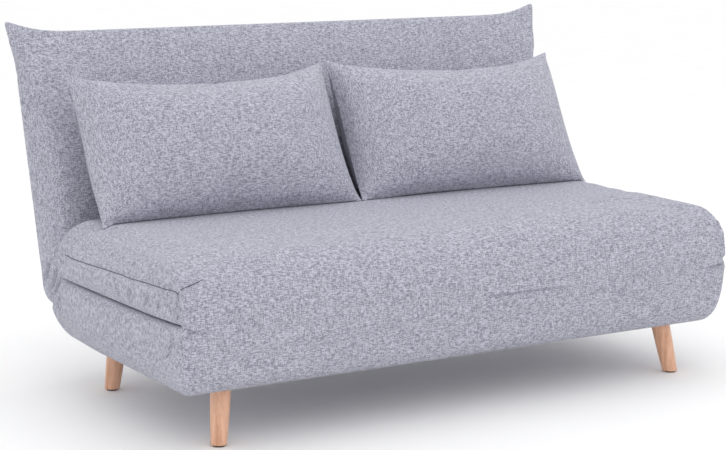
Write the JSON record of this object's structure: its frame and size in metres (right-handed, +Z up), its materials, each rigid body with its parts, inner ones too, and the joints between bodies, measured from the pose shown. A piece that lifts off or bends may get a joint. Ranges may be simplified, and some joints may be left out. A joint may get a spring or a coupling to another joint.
{
  "type": "sofa bed",
  "caption": "Armless upholstered sofa bed on splayed wooden legs; the seat pad flips forward and the wedge back reclines flat to make a bed, with loose back pillows.",
  "frame": {"origin": "centre of the footprint of the overall box, on the floor", "axes": "+X to the right seen from the front, -Y toward the front, +Z up"},
  "size_m": [1.5466, 0.8949, 0.858],
  "materials": {
    "upholstery_cloth": "woven melange",
    "pillow_cloth": "woven melange",
    "foam": "open-cell foam",
    "webbing": "elastic webbing",
    "beech": "satin lacquer",
    "slat_wood": "plain",
    "black_plastic": "moulded",
    "zinc_steel": "zinc plated",
    "frame_steel": "powder coat"
  },
  "bodies": {
    "base": {"base_cover": "upholstery_cloth", "base_foam": "foam", "base_front_rail": "frame_steel", "base_hinge_bolts": "zinc_steel", "base_rear_rail": "frame_steel", "base_side_rail_left": "frame_steel", "base_side_rail_right": "frame_steel", "base_slats": "slat_wood", "flip_bracket_left": "frame_steel", "flip_bracket_right": "frame_steel", "hinge_pins": "zinc_steel", "leg_front_left": "beech", "leg_front_right": "beech", "leg_glides": "black_plastic", "leg_plate_screws": "zinc_steel", "leg_plates": "frame_steel", "leg_rear_left": "beech", "leg_rear_right": "beech", "leg_studs": "zinc_steel", "rear_gusset": "upholstery_cloth", "recline_bracket_left": "frame_steel", "recline_bracket_right": "frame_steel", "slat_holders": "black_plastic"},
    "seat": {"flip_plate_left": "frame_steel", "flip_plate_right": "frame_steel", "seat_cover": "upholstery_cloth", "seat_foam_lower": "foam", "seat_foam_upper": "foam", "seat_front_rail": "frame_steel", "seat_hinge_bolts": "zinc_steel", "seat_rear_rail": "frame_steel", "seat_side_rail_left": "frame_steel", "seat_side_rail_right": "frame_steel", "seat_webbing": "webbing", "support_brackets": "frame_steel", "support_pins": "zinc_steel"},
    "support_leg_left": {"support_leg_left": "frame_steel", "support_foot_left": "black_plastic"},
    "support_leg_right": {"support_leg_right": "frame_steel", "support_foot_right": "black_plastic"},
    "back": {"back_bottom_rail": "frame_steel", "back_cover": "upholstery_cloth", "back_foam": "foam", "back_hinge_bolts": "zinc_steel", "back_side_rail_left": "frame_steel", "back_side_rail_right": "frame_steel", "back_top_rail": "frame_steel", "back_webbing": "webbing", "rear_leg_hangers": "frame_steel", "rear_leg_pins": "zinc_steel", "recline_plate_left": "frame_steel", "recline_plate_right": "frame_steel"},
    "rear_leg": {"rear_leg_arm_left": "frame_steel", "rear_leg_arm_right": "frame_steel", "rear_leg_bar": "frame_steel", "rear_leg_feet": "black_plastic"},
    "pillow_left": {"pillow_cover_left": "pillow_cloth", "pillow_filling_left": "foam"},
    "pillow_right": {"pillow_cover_right": "pillow_cloth", "pillow_filling_right": "foam"}
  },
  "joints": [
    {"name": "seat_flip", "type": "hinge", "parent": "base", "child": "seat", "pos_m": [0, -0.43947, 0.278], "axis": [1, 0, 0], "range_deg": [0, 180], "deforming": ["pillow_cover_left", "pillow_filling_left", "pillow_cover_right", "pillow_filling_right"]},
    {"name": "back_recline", "type": "hinge", "parent": "base", "child": "back", "pos_m": [0, 0.22353, 0.278], "axis": [-1, 0, 0], "range_deg": [0, 72], "deforming": ["rear_gusset"]},
    {"name": "support_leg_left_swing", "type": "hinge", "parent": "seat", "child": "support_leg_left", "pos_m": [-0.43, 0.19253, 0.378], "axis": [0, -1, 0], "range_deg": [0, 90]},
    {"name": "support_leg_right_swing", "type": "hinge", "parent": "seat", "child": "support_leg_right", "pos_m": [0.43, 0.19253, 0.378], "axis": [0, 1, 0], "range_deg": [0, 90]},
    {"name": "rear_leg_swing", "type": "hinge", "parent": "back", "child": "rear_leg", "pos_m": [0, 0.43547, 0.68755], "axis": [1, 0, 0], "range_deg": [0, 72]},
    {"name": "pillow_left_slide", "type": "slide", "parent": "back", "child": "pillow_left", "axis": [0, -0.309, -0.9511], "range_m": [0, 0.14]},
    {"name": "pillow_right_slide", "type": "slide", "parent": "back", "child": "pillow_right", "axis": [0, -0.309, -0.9511], "range_m": [0, 0.14]}
  ],
  "couplings": [
    {"joint": "support_leg_left_swing", "follows": "seat_flip", "ratio": 0.5},
    {"joint": "support_leg_right_swing", "follows": "seat_flip", "ratio": 0.5},
    {"joint": "rear_leg_swing", "follows": "back_recline", "ratio": 1},
    {"joint": "pillow_left_slide", "follows": "seat_flip", "m_per_rad": 0.044562},
    {"joint": "pillow_right_slide", "follows": "seat_flip", "m_per_rad": 0.044562}
  ]
}
